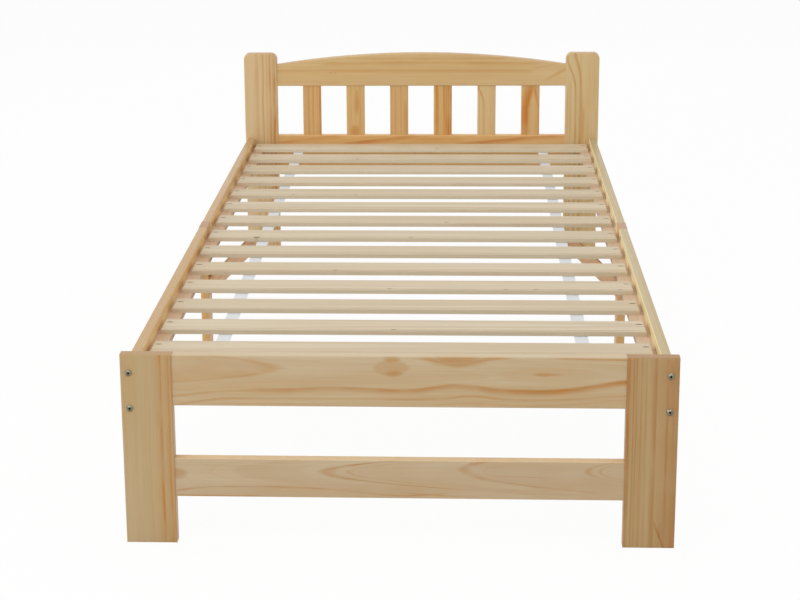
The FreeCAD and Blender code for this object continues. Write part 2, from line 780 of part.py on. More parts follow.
def end_frames():
    nodes = []
    for side, sign in SIDES:
        nodes.append(end_upright("foot_leg_" + side, sign, -1, d.leg_height))
        nodes.append(end_upright("head_post_" + side, sign, 1, d.post_height))
    for label, bottom, height in (
        ("foot_top_rail", foot_top_bottom, d.foot_top_height),
        ("foot_lower_rail", d.foot_lower_bottom, d.foot_lower_height),
    ):
        nodes.append(cross_board(label, foot_cross_front, bottom, height))
    lower = cross_board("headboard_lower_rail", head_cross_front, head_lower_bottom, d.head_lower_height)
    bore_for_spindles(lower, "-z", d.head_lower_top)
    arched = arched_board("headboard_top_rail")
    bore_for_spindles(arched, "+z", d.arch_bottom)
    nodes += [lower, arched]
    nodes += [spindle(k) for k in range(1, SPINDLE_COUNT + 1)]
    return nodes


def bed_base():
    nodes = []
    for side, sign in SIDES:
        for half in ("foot", "head"):
            nodes.append(side_rail(half, side, sign))
            nodes.append(slat_ledge(half, side, sign))
        nodes.append(mid_post(side, sign))
        nodes.append(mid_brace(side, sign))
        nodes.append(slat_strap(side, sign))
    nodes += [slat(k) for k in range(1, SLAT_COUNT + 1)]
    return nodes


nodes = end_frames() + bed_base() + fasteners()
doc.recompute()

failed = [o.Name for o in doc.Objects if "Invalid" in o.State or "Error" in o.State]
failed += [n.Label for n in nodes if n.Shape.isNull() or not n.Shape.isValid()]
if failed:
    raise RuntimeError("these pieces failed: " + ", ".join(failed))
for node in nodes:
    node.Shape.exportStep("parts/%s.step" % node.Label)
print("wrote", len(nodes), "pieces")
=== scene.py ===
import math
import bpy
import numpy as np
from mathutils import Matrix, Vector


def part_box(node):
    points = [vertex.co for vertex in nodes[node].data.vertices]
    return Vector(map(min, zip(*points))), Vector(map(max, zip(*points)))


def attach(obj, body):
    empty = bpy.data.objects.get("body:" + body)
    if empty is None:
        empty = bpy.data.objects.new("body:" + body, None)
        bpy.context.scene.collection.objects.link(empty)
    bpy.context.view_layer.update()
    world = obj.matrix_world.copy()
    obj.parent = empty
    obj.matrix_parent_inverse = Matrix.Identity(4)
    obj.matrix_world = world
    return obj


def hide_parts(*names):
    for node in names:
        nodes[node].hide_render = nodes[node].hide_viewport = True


# Single pine bed: clear-lacquered boards, bare slats, white webbing under the slats, zinc fasteners.
# Every board is cut from one solid figure of growth rings, so faces, edges and end grain agree.

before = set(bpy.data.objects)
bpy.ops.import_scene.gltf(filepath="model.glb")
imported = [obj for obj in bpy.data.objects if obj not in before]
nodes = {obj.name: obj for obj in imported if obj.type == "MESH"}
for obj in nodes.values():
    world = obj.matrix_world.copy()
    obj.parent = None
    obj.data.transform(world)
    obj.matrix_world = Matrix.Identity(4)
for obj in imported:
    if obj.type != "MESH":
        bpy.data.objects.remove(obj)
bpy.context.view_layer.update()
scene = bpy.context.scene
print("frame loaded with", len(nodes), "nodes")


def paint(red, green, blue):  # a colour as a photo editor shows it, 0 to 255, made linear
    share = np.array((red, green, blue)) / 255
    linear = np.where(share <= 0.04045, share / 12.92, ((share + 0.055) / 1.055) ** 2.4)
    return (*linear.tolist(), 1.0)


# short ways to write node trees
def feed(tree, socket, value):
    if isinstance(value, bpy.types.NodeSocket):
        tree.links.new(value, socket)
    else:
        socket.default_value = value


def calc(tree, operation, *values):
    node = tree.nodes.new("ShaderNodeMath")
    node.operation = operation
    for socket, value in zip(node.inputs, values):
        feed(tree, socket, value)
    return node.outputs[0]


def stretch(tree, vector, scale, shift):
    node = tree.nodes.new("ShaderNodeVectorMath")
    node.operation = "MULTIPLY_ADD"
    for socket, value in zip(node.inputs, (vector, scale, shift)):
        feed(tree, socket, value)
    return node.outputs[0]


def cloud(tree, vector, detail, size=1.0):
    node = tree.nodes.new("ShaderNodeTexNoise")
    feed(tree, node.inputs["Vector"], vector)
    node.inputs["Scale"].default_value = size
    node.inputs["Detail"].default_value = detail
    return node.outputs[0]


def ramp(tree, value, low, high, toLow=0.0, toHigh=1.0):
    node = tree.nodes.new("ShaderNodeMapRange")
    node.interpolation_type = "SMOOTHSTEP"
    for socket, item in zip(node.inputs, (value, low, high, toLow, toHigh)):
        feed(tree, socket, item)
    return node.outputs[0]


def blendColors(tree, factor, first, second, mode="MIX"):
    node = tree.nodes.new("ShaderNodeMix")
    node.data_type = "RGBA"
    node.blend_type = mode
    for index, item in ((0, factor), (6, first), (7, second)):
        feed(tree, node.inputs[index], item)
    return node.outputs[2]


def newGroup(name, inputs, outputs):
    tree = bpy.data.node_groups.new(name, "ShaderNodeTree")
    for direction, sockets in (("INPUT", inputs), ("OUTPUT", outputs)):
        for label, kind, *start in sockets:
            kind = "NodeSocket" + kind
            made = tree.interface.new_socket(label, in_out=direction, socket_type=kind)
            if start:
                made.default_value = start[0]
    entry = tree.nodes.new("NodeGroupInput").outputs
    leave = tree.nodes.new("NodeGroupOutput").inputs
    return tree, entry, leave


def place(tree, group, **values):
    node = tree.nodes.new("ShaderNodeGroup")
    node.node_tree = group
    for label, value in values.items():
        feed(tree, node.inputs[label], value)
    return node.outputs


def split(tree, vector):
    node = tree.nodes.new("ShaderNodeSeparateXYZ")
    feed(tree, node.inputs[0], vector)
    return node.outputs


def seedShift(tree, seed, factors):
    node = tree.nodes.new("ShaderNodeCombineXYZ")
    for socket, factor in zip(node.inputs, factors):
        feed(tree, socket, calc(tree, "MULTIPLY", seed, factor))
    return node.outputs[0]


def seededCloud(tree, entry, repeats, factors, detail):
    shift = seedShift(tree, entry["Seed"], factors)
    return cloud(tree, stretch(tree, entry["Vector"], repeats, shift), detail)


# how often the clouds in the wood repeat in a metre: along the grain, across the face, through the board
woodClouds = {"drift": (2.6, 17.0, 17.0), "fibre": (7.0, 430.0, 430.0), "tone": (1.3, 13.0, 13.0),
              "fleck": (24.0, 150.0, 150.0), "lineWander": (9.0, 0.0, 0.0), "linePatch": (13.0, 0.0, 0.0),
              "arrowRough": (12.0, 90.0, 0.0), "arrowPatch": (16.0, 45.0, 0.0),
              "eyeRough": (40.0, 130.0, 0.0)}
# from where to where a cloud's value is read as thin and as dense
cloudSpans = {"fibre": (0.3, 0.7), "tone": (0.35, 0.68), "patch": (0.3, 0.65), "plating": (0.3, 0.7)}
rings = {"unevenRate": 0.8, "uneven": 0.9, "weakest": 0.35, "rise": (0.25, 0.88), "fall": (0.90, 1.0)}


# Growth rings in a board's own directions: x along the grain, y across the face, z through the board.
# ring number = (across - heart)^2 / curve + along / run + depth / ring + a slow wander
def makePineFigure():
    tree, entry, leave = newGroup(
        "pineFigure",
        (("Vector", "Vector"), ("Heart", "Float", 0.0), ("Curve", "Float", 0.0012), ("Run", "Float", 1.0),
         ("Ring", "Float", 0.005), ("Wander", "Float", 0.4), ("Seed", "Float", 0.0)),
        (("Late", "Float"), ("Fibre", "Float"), ("Tone", "Float")))
    along, across, depth = split(tree, entry["Vector"])
    seed = entry["Seed"]
    shift = seedShift(tree, seed, (1.0, 2.3, 3.7))
    drift = cloud(tree, stretch(tree, entry["Vector"], woodClouds["drift"], shift), 2.0)
    drift = calc(tree, "MULTIPLY", calc(tree, "SUBTRACT", drift, 0.5), 2.0)
    side = calc(tree, "SUBTRACT", across, entry["Heart"])
    count = calc(tree, "DIVIDE", calc(tree, "MULTIPLY", side, side), entry["Curve"])
    count = calc(tree, "ADD", count, calc(tree, "DIVIDE", along, entry["Run"]))
    count = calc(tree, "ADD", count, calc(tree, "DIVIDE", depth, entry["Ring"]))
    count = calc(tree, "MULTIPLY_ADD", drift, entry["Wander"], count)
    uneven = tree.nodes.new("ShaderNodeTexNoise")  # rings differ in width
    uneven.noise_dimensions = "1D"
    feed(tree, uneven.inputs["W"], calc(tree, "MULTIPLY_ADD", count, rings["unevenRate"], seed))
    count = calc(tree, "MULTIPLY_ADD", uneven.outputs[0], rings["uneven"], count)
    whole = calc(tree, "FLOOR", count)
    share = calc(tree, "SUBTRACT", count, whole)
    dice = tree.nodes.new("ShaderNodeTexWhiteNoise")  # and in strength
    dice.noise_dimensions = "1D"
    feed(tree, dice.inputs["W"], calc(tree, "ADD", whole, seed))
    strength = calc(tree, "MULTIPLY_ADD", dice.outputs[0], 1 - rings["weakest"], rings["weakest"])
    rise, fall = ramp(tree, share, *rings["rise"]), ramp(tree, share, *rings["fall"], 1.0, 0.0)
    late = calc(tree, "MULTIPLY", rise, fall)
    fine = cloud(tree, stretch(tree, entry["Vector"], woodClouds["fibre"], shift), 3.0)
    broad = cloud(tree, stretch(tree, entry["Vector"], woodClouds["tone"], shift), 2.0)
    feed(tree, leave["Late"], calc(tree, "MULTIPLY", late, strength))
    feed(tree, leave["Fibre"], ramp(tree, fine, *cloudSpans["fibre"]))
    feed(tree, leave["Tone"], ramp(tree, broad, *cloudSpans["tone"]))
    return tree


# A grain line swings round a hidden branch: lift + height * exp(-((along - at) / length)^2)
def makeGrainBend():
    tree, entry, leave = newGroup(
        "grainBend",
        (("Vector", "Vector"), ("Lift", "Float", 0.0), ("At", "Float", 0.0), ("Length", "Float", 0.05),
         ("Height", "Float", 0.01)),
        (("Lift", "Float"),))
    away = calc(tree, "SUBTRACT", split(tree, entry["Vector"])[0], entry["At"])
    away = calc(tree, "DIVIDE", away, entry["Length"])
    bump = calc(tree, "EXPONENT", calc(tree, "MULTIPLY", calc(tree, "MULTIPLY", away, away), -1.0))
    feed(tree, leave["Lift"], calc(tree, "MULTIPLY_ADD", bump, entry["Height"], entry["Lift"]))
    return tree


# how the drawn marks end, in shares of a mark's own width or size (fade of a line in metres), how rough
# they are and how much of them is left where the wood is thin
lineEdge = {"soft": (-1.4, 0.0), "sharp": (0.05, 0.55), "fade": 0.025, "weakest": 0.55}
arrowEdge = {"outer": (-0.45, 0.15), "inner": (0.15, 1.1), "fill": (0.0, 0.5), "fade": (0.4, 1.0),
             "rough": 0.6, "weakest": 0.5}
eyeEdge = {"rise": (0.1, 0.9), "fall": (0.9, 1.6), "full": (-0.1, 1.5), "rough": 1.1}


# One late-wood line: across = level + tilt * along + lift + wander, with one soft and one sharp side,
# stronger and weaker along its length, fading out at start and end
def makeGrainLine():
    tree, entry, leave = newGroup(
        "grainLine",
        (("Vector", "Vector"), ("Mask", "Float", 0.0), ("Lift", "Float", 0.0), ("Level", "Float", 0.0),
         ("Tilt", "Float", 0.0), ("Width", "Float", 0.003), ("Start", "Float", -2.0),
         ("End", "Float", 2.0), ("Strength", "Float", 0.7), ("Wander", "Float", 0.001),
         ("Seed", "Float", 0.0)),
        (("Mask", "Float"),))
    along, across = split(tree, entry["Vector"])[:2]
    slow = seededCloud(tree, entry, woodClouds["lineWander"], (1.7, 3.1, 0.9), 1.0)
    slow = calc(tree, "MULTIPLY_ADD", slow, 2.0, -1.0)
    middle = calc(tree, "ADD", entry["Level"], entry["Lift"])
    middle = calc(tree, "MULTIPLY_ADD", along, entry["Tilt"], middle)
    middle = calc(tree, "MULTIPLY_ADD", slow, entry["Wander"], middle)
    side = calc(tree, "DIVIDE", calc(tree, "SUBTRACT", across, middle), entry["Width"])
    soft, sharp = ramp(tree, side, *lineEdge["soft"]), ramp(tree, side, *lineEdge["sharp"], 1.0, 0.0)
    mask = calc(tree, "MULTIPLY", soft, sharp)
    patch = seededCloud(tree, entry, woodClouds["linePatch"], (4.3, 0.7, 2.9), 1.0)
    mask = calc(tree, "MULTIPLY", mask, ramp(tree, patch, *cloudSpans["patch"], lineEdge["weakest"], 1.0))
    for limit, toLow, toHigh in (("Start", 0.0, 1.0), ("End", 1.0, 0.0)):
        low = calc(tree, "SUBTRACT", entry[limit], lineEdge["fade"])
        high = calc(tree, "ADD", entry[limit], lineEdge["fade"])
        mask = calc(tree, "MULTIPLY", mask, ramp(tree, along, low, high, toLow, toHigh))
    mask = calc(tree, "MULTIPLY", mask, entry["Strength"])
    feed(tree, leave["Mask"], calc(tree, "MAXIMUM", entry["Mask"], mask))
    return tree


# A pointed arch of one ring: inside = way * (along - tip) - (across - axis)^2 / open, dark at its edge,
# fading out towards reach
def makeGrainArrow():
    tree, entry, leave = newGroup(
        "grainArrow",
        (("Vector", "Vector"), ("Mask", "Float", 0.0), ("Tip", "Float", 0.0), ("Axis", "Float", 0.0),
         ("Open", "Float", 0.003), ("Way", "Float", 1.0), ("Width", "Float", 0.02),
         ("Fill", "Float", 0.2), ("Reach", "Float", 0.3), ("Strength", "Float", 0.6),
         ("Seed", "Float", 0.0)),
        (("Mask", "Float"),))
    along, across = split(tree, entry["Vector"])[:2]
    rough = seededCloud(tree, entry, woodClouds["arrowRough"], (2.1, 1.3, 0.6), 2.0)
    rough = calc(tree, "MULTIPLY_ADD", rough, arrowEdge["rough"], -arrowEdge["rough"] / 2)
    ahead = calc(tree, "MULTIPLY", calc(tree, "SUBTRACT", along, entry["Tip"]), entry["Way"])
    side = calc(tree, "SUBTRACT", across, entry["Axis"])
    bow = calc(tree, "DIVIDE", calc(tree, "MULTIPLY", side, side), entry["Open"])
    inside = calc(tree, "SUBTRACT", ahead, bow)
    inside = calc(tree, "MULTIPLY_ADD", rough, entry["Width"], inside)
    inside = calc(tree, "DIVIDE", inside, entry["Width"])
    outer = ramp(tree, inside, *arrowEdge["outer"])
    inner = ramp(tree, inside, *arrowEdge["inner"], 1.0, 0.0)
    fill = calc(tree, "MULTIPLY", ramp(tree, inside, *arrowEdge["fill"]), entry["Fill"])
    mask = calc(tree, "MAXIMUM", calc(tree, "MULTIPLY", outer, inner), fill)
    gone = calc(tree, "DIVIDE", ahead, entry["Reach"])
    mask = calc(tree, "MULTIPLY", mask, ramp(tree, gone, *arrowEdge["fade"], 1.0, 0.0))
    patch = seededCloud(tree, entry, woodClouds["arrowPatch"], (0.9, 2.7, 1.4), 1.0)
    mask = calc(tree, "MULTIPLY", mask, ramp(tree, patch, *cloudSpans["patch"], arrowEdge["weakest"], 1.0))
    mask = calc(tree, "MULTIPLY", mask, entry["Strength"])
    feed(tree, leave["Mask"], calc(tree, "MAXIMUM", entry["Mask"], mask))
    return tree


# A rounded figure or knot: far = ((along - at) / length)^2 + ((across - level) / height)^2 + roughness,
# filled where rim is 0 and only an outline where rim is 1
def makeGrainEye():
    tree, entry, leave = newGroup(
        "grainEye",
        (("Vector", "Vector"), ("Mask", "Float", 0.0), ("At", "Float", 0.0), ("Level", "Float", 0.0),
         ("Length", "Float", 0.02), ("Height", "Float", 0.005), ("Rim", "Float", 0.5),
         ("Strength", "Float", 0.5), ("Seed", "Float", 0.0)),
        (("Mask", "Float"),))
    along, across = split(tree, entry["Vector"])[:2]
    far = seededCloud(tree, entry, woodClouds["eyeRough"], (1.9, 0.8, 2.4), 2.0)
    far = calc(tree, "MULTIPLY_ADD", far, eyeEdge["rough"], -eyeEdge["rough"] / 2)
    for spot, middle, reach in ((along, "At", "Length"), (across, "Level", "Height")):
        away = calc(tree, "DIVIDE", calc(tree, "SUBTRACT", spot, entry[middle]), entry[reach])
        far = calc(tree, "MULTIPLY_ADD", away, away, far)
    rise, fall = ramp(tree, far, *eyeEdge["rise"]), ramp(tree, far, *eyeEdge["fall"], 1.0, 0.0)
    rim = calc(tree, "MULTIPLY", rise, fall)
    full = ramp(tree, far, *eyeEdge["full"], 1.0, 0.0)
    mask = calc(tree, "MULTIPLY_ADD", calc(tree, "SUBTRACT", rim, full), entry["Rim"], full)
    mask = calc(tree, "MULTIPLY", mask, entry["Strength"])
    feed(tree, leave["Mask"], calc(tree, "MAXIMUM", entry["Mask"], mask))
    return tree


# shares of the wood's masks in its colour, roughness and height
pine = {"fibreLight": (0.07, 0.965), "sideShadingCover": 0.7, "endCover": 0.75, "fibreRough": 0.10,
        "ringRough": -0.08, "ringHeight": 0.6, "fibreHeight": 0.4, "relief": 0.0006, "markFibre": (0.5, 0.72),
        "fleckEdge": 0.84, "fleckMore": 0.12, "fleckSoft": 0.06, "fleckCover": 0.7, "facing": (0.55, 0.85)}


# Colour, roughness and height of pine from the figure's masks
def makePineTint():
    tree, entry, leave = newGroup(
        "pineTint",
        (("Late", "Float"), ("Fibre", "Float"), ("Tone", "Float"), ("Ends", "Float"), ("Sides", "Float"),
         ("Fleck", "Float"), ("Pale", "Color"), ("Warm", "Color"), ("Ring", "Color"), ("End", "Color"),
         ("Side", "Color"), ("Dark", "Color"), ("Cover", "Float", 0.0), ("Sheen", "Float", 0.4)),
        (("Color", "Color"), ("Roughness", "Float"), ("Height", "Float")))
    color = blendColors(tree, entry["Tone"], entry["Pale"], entry["Warm"])
    color = blendColors(tree, entry["Late"], color, entry["Ring"])
    lightness = calc(tree, "MULTIPLY_ADD", entry["Fibre"], *pine["fibreLight"])
    streak = tree.nodes.new("ShaderNodeCombineColor")
    for socket in streak.inputs:
        feed(tree, socket, lightness)
    color = blendColors(tree, 1.0, color, streak.outputs[0], "MULTIPLY")
    # narrow sides take the "side" colour: painted light and shade on the tops and edges of some boards
    color = blendColors(tree, calc(tree, "MULTIPLY", entry["Sides"], entry["Cover"]), color, entry["Side"])
    color = blendColors(tree, calc(tree, "MULTIPLY", entry["Ends"], pine["endCover"]), color, entry["End"])
    color = blendColors(tree, entry["Fleck"], color, entry["Dark"])
    feed(tree, leave["Color"], color)
    rough = calc(tree, "MULTIPLY_ADD", entry["Fibre"], pine["fibreRough"], entry["Sheen"])
    feed(tree, leave["Roughness"], calc(tree, "MULTIPLY_ADD", entry["Late"], pine["ringRough"], rough))
    height = calc(tree, "MULTIPLY", entry["Fibre"], pine["fibreHeight"])
    feed(tree, leave["Height"], calc(tree, "MULTIPLY_ADD", entry["Late"], pine["ringHeight"], height))
    return tree


# Short brown flecks along the grain; end grain and narrow sides from how far a face looks that way
def makePineMarks():
    tree, entry, leave = newGroup(
        "pineMarks",
        (("Vector", "Vector"), ("Normal", "Vector"), ("Grain", "Vector"), ("Across", "Vector"),
         ("Amount", "Float", 0.3), ("Seed", "Float", 0.0)),
        (("Fleck", "Float"), ("Ends", "Float"), ("Sides", "Float")))
    spots = seededCloud(tree, entry, woodClouds["fleck"], (2.9, 1.1, 4.3), 1.0)
    edge = calc(tree, "MULTIPLY", entry["Amount"], pine["fleckMore"])
    edge = calc(tree, "SUBTRACT", pine["fleckEdge"], edge)
    mask = ramp(tree, spots, edge, calc(tree, "ADD", edge, pine["fleckSoft"]))
    feed(tree, leave["Fleck"], calc(tree, "MULTIPLY", mask, pine["fleckCover"]))
    for kind, direction in (("Ends", "Grain"), ("Sides", "Across")):
        facing = tree.nodes.new("ShaderNodeVectorMath")
        facing.operation = "DOT_PRODUCT"
        feed(tree, facing.inputs[0], entry["Normal"])
        feed(tree, facing.inputs[1], entry[direction])
        share = calc(tree, "ABSOLUTE", facing.outputs["Value"])
        feed(tree, leave[kind], ramp(tree, share, *pine["facing"]))
    return tree


pineFigure = makePineFigure()
grainBend = makeGrainBend()
grainGroups = {"line": makeGrainLine(), "arrow": makeGrainArrow(), "eye": makeGrainEye()}
pineTint = makePineTint()
pineMarks = makePineMarks()
print("node groups ready")

# the three directions of a board: along the grain, across its face, through it
slope = math.sqrt(0.5)
boardTurns = {
    "across": ((1, 0, 0), (0, 0, 1), (0, -1, 0)),
    "upright": ((0, 0, 1), (1, 0, 0), (0, 1, 0)),
    "lengthways": ((0, 1, 0), (0, 0, 1), (1, 0, 0)),
    "flat": ((1, 0, 0), (0, 1, 0), (0, 0, 1)),
    "leftBrace": ((slope, 0, slope), (-slope, 0, slope), (0, -1, 0)),
    "rightBrace": ((-slope, 0, slope), (slope, 0, slope), (0, 1, 0)),
}

# finishes, colours as a photo editor shows them; some boards add their own "side" for the narrow sides, a
# colour that paints light or shade on them: lighter or darker than the faces because of how light falls there
lacquer = {"pale": (209, 187, 151), "warm": (204, 176, 134), "ring": (188, 124, 42), "end": (190, 150, 105),
           "dark": (120, 78, 44), "contrast": 0.16, "sheen": 0.36, "gloss": 0.25, "fleck": 0.0,
           "bump": 0.12}
bare = {"pale": (213, 199, 173), "warm": (208, 191, 161), "ring": (172, 134, 96), "end": (200, 166, 128),
        "dark": (96, 70, 48), "contrast": 0.32, "sheen": 0.55, "gloss": 0.2, "fleck": 0.3, "bump": 0.2}
figureStart = {"heart": 0.0, "curve": 0.0012, "run": 1.2, "ring": 0.005, "wander": 0.4, "seed": 0.0}


# marks of a board's face, in millimetres from the middle of the board; a bend gives at, length, height
def line(level, width, strength, start=-2000, end=2000, tilt=0.0, wander=1.0, bends=()):
    return {"kind": "line", "bends": bends, "tilt": tilt, "strength": strength,
            "mm": {"level": level, "width": width, "start": start, "end": end, "wander": wander}}


def arrow(tip, axis, opening, way, width, fill, reach, strength):
    return {"kind": "arrow", "way": way, "fill": fill, "strength": strength,
            "mm": {"tip": tip, "axis": axis, "open": opening, "width": width, "reach": reach}}


def eye(at, level, length, height, rim, strength):
    return {"kind": "eye", "rim": rim, "strength": strength,
            "mm": {"at": at, "level": level, "length": length, "height": height}}


def drawMarks(tree, point, marks, seed):
    mask = 0.0
    for count, mark in enumerate(marks):
        values = {name.capitalize(): size / 1000 for name, size in mark["mm"].items()}
        for name in ("tilt", "way", "fill", "rim", "strength"):
            if name in mark:
                values[name.capitalize()] = mark[name]
        lift = 0.0
        for at, length, height in mark.get("bends", ()):
            lift = place(tree, grainBend, Vector=point, Lift=lift, At=at / 1000, Length=length / 1000,
                         Height=height / 1000)[0]
        if mark["kind"] == "line":
            values["Lift"] = lift
        group = grainGroups[mark["kind"]]
        mask = place(tree, group, Vector=point, Mask=mask, Seed=seed + 1.7 * count, **values)[0]
    return mask


def boardMaterial(node, turn, finish, figure, marks=(), darkMarks=()):
    look = {**figureStart, **figure}
    material = bpy.data.materials.new(node + "_pine")
    material.use_nodes = True
    tree = material.node_tree
    shader = tree.nodes["Principled BSDF"]
    low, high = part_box(node)
    where = tree.nodes.new("ShaderNodeTexCoord")
    turned = tree.nodes.new("ShaderNodeMapping")
    turned.vector_type = "TEXTURE"
    turned.inputs["Location"].default_value = (low + high) / 2
    turned.inputs["Rotation"].default_value = Matrix(boardTurns[turn]).transposed().to_euler()
    feed(tree, turned.inputs["Vector"], where.outputs["Object"])
    point = turned.outputs[0]
    wood = place(tree, pineFigure, Vector=point, **{name.capitalize(): item for name, item in look.items()})
    late = calc(tree, "MULTIPLY", wood["Late"], finish["contrast"])
    broken = calc(tree, "MULTIPLY_ADD", wood["Fibre"], *pine["markFibre"])
    drawn = calc(tree, "MULTIPLY", drawMarks(tree, point, marks, look["seed"]), broken)
    late = calc(tree, "MAXIMUM", late, drawn)
    spots = place(tree, pineMarks, Vector=point, Normal=where.outputs["Normal"], Grain=boardTurns[turn][0],
                  Across=boardTurns[turn][1], Amount=finish["fleck"], Seed=look["seed"])
    # dark marks: knots, and on the slats also painted shade round the staples
    fleck = calc(tree, "MAXIMUM", spots["Fleck"], drawMarks(tree, point, darkMarks, look["seed"] + 0.5))
    colors = {name.capitalize(): paint(*finish[name]) for name in ("pale", "warm", "ring", "end", "dark")}
    tint = place(tree, pineTint, Late=late, Fibre=wood["Fibre"], Tone=wood["Tone"], Ends=spots["Ends"],
                 Sides=spots["Sides"], Fleck=fleck, Side=paint(*finish.get("side", finish["pale"])),
                 Cover=pine["sideShadingCover"] if "side" in finish else 0.0, Sheen=finish["sheen"], **colors)
    feed(tree, shader.inputs["Base Color"], tint["Color"])
    feed(tree, shader.inputs["Roughness"], tint["Roughness"])
    shader.inputs["Specular IOR Level"].default_value = finish["gloss"]
    bump = tree.nodes.new("ShaderNodeBump")
    bump.inputs["Strength"].default_value = finish["bump"]
    bump.inputs["Distance"].default_value = pine["relief"]
    feed(tree, bump.inputs["Height"], tint["Height"])
    feed(tree, shader.inputs["Normal"], bump.outputs[0])
    mesh = nodes[node].data
    mesh.materials.clear()
    mesh.materials.append(material)


